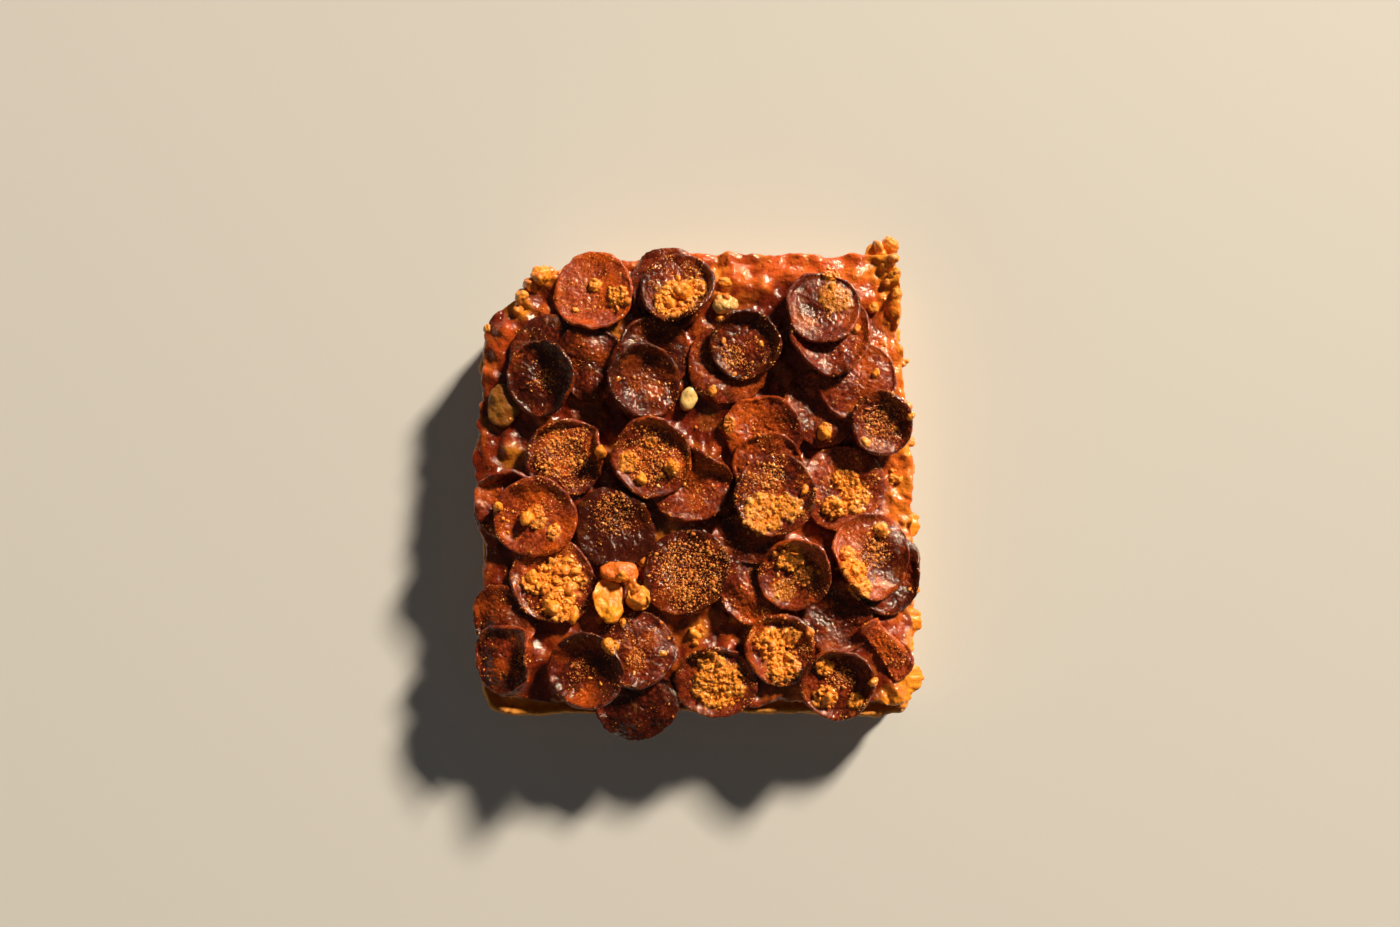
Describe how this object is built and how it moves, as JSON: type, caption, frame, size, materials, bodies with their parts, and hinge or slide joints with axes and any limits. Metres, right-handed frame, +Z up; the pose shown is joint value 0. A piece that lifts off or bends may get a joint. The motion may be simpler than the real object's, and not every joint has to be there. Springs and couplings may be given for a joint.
{
  "type": "pepperoni pizza slice",
  "caption": "Thick square slice of pan-baked pizza: airy dough, a cheese layer, chunky tomato sauce and a heap of curled pepperoni with cheese crumbs.",
  "frame": {"origin": "middle of the slice's box seen from above, on the surface that it rests on", "axes": "+Z up; +X towards the long cut side and +Y towards the other cut side; -X and -Y are the sides baked against the pan"},
  "size_m": [0.1522, 0.1686, 0.0425],
  "materials": {
    "crust": "matt, baked golden brown, with an open crumb where it is cut",
    "melted_cheese": "soft sheen, browned at the edges",
    "tomato_sauce": "wet and glossy, with lumps of tomato",
    "pepperoni": "greasy, finely grained, charred along the curled edge",
    "browned_cheese": "toasted, slightly crisp",
    "garlic": "smooth, slightly translucent"
  },
  "bodies": {
    "root": {"cheese_chunk_golden": "browned_cheese", "cheese_chunk_rusty": "browned_cheese", "cheese_chunk_small": "browned_cheese", "cheese_layer": "melted_cheese", "cheese_patch_back": "melted_cheese", "cheese_patch_left": "melted_cheese", "dough": "crust", "garlic_piece": "garlic", "pepperoni_back_cup": "pepperoni", "pepperoni_back_cup_lower": "pepperoni", "pepperoni_back_left_flat": "pepperoni", "pepperoni_back_left_gap": "pepperoni", "pepperoni_back_left_lower": "pepperoni", "pepperoni_back_lower": "pepperoni", "pepperoni_back_middle_lower": "pepperoni", "pepperoni_back_right_lower": "pepperoni", "pepperoni_back_right_upper": "pepperoni", "pepperoni_back_tilted": "pepperoni", "pepperoni_centre_large": "pepperoni", "pepperoni_centre_shaded": "pepperoni", "pepperoni_centre_shaded_front": "pepperoni", "pepperoni_front_edge_hanging": "pepperoni", "pepperoni_front_left_back": "pepperoni", "pepperoni_front_left_crumbed": "pepperoni", "pepperoni_front_left_cup": "pepperoni", "pepperoni_front_middle": "pepperoni", "pepperoni_front_right_crumbed": "pepperoni", "pepperoni_front_right_cup": "pepperoni", "pepperoni_left_cup": "pepperoni", "pepperoni_left_edge_lower": "pepperoni", "pepperoni_left_edge_middle": "pepperoni", "pepperoni_left_edge_steep": "pepperoni", "pepperoni_left_folded": "pepperoni", "pepperoni_left_middle_upper": "pepperoni", "pepperoni_middle_left_cup": "pepperoni", "pepperoni_middle_left_dark": "pepperoni", "pepperoni_middle_right": "pepperoni", "pepperoni_middle_stack_bottom": "pepperoni", "pepperoni_middle_stack_centre": "pepperoni", "pepperoni_middle_stack_top": "pepperoni", "pepperoni_middle_under": "pepperoni", "pepperoni_middle_upper": "pepperoni", "pepperoni_right_edge_lower": "pepperoni", "pepperoni_right_edge_small": "pepperoni", "pepperoni_right_front_folded": "pepperoni", "pepperoni_right_large": "pepperoni", "pepperoni_right_middle_upper": "pepperoni", "pepperoni_right_shaded": "pepperoni", "pepperoni_right_stack_grey": "pepperoni", "pepperoni_right_stack_red": "pepperoni", "sauce_layer": "tomato_sauce"}
  },
  "joints": []
}
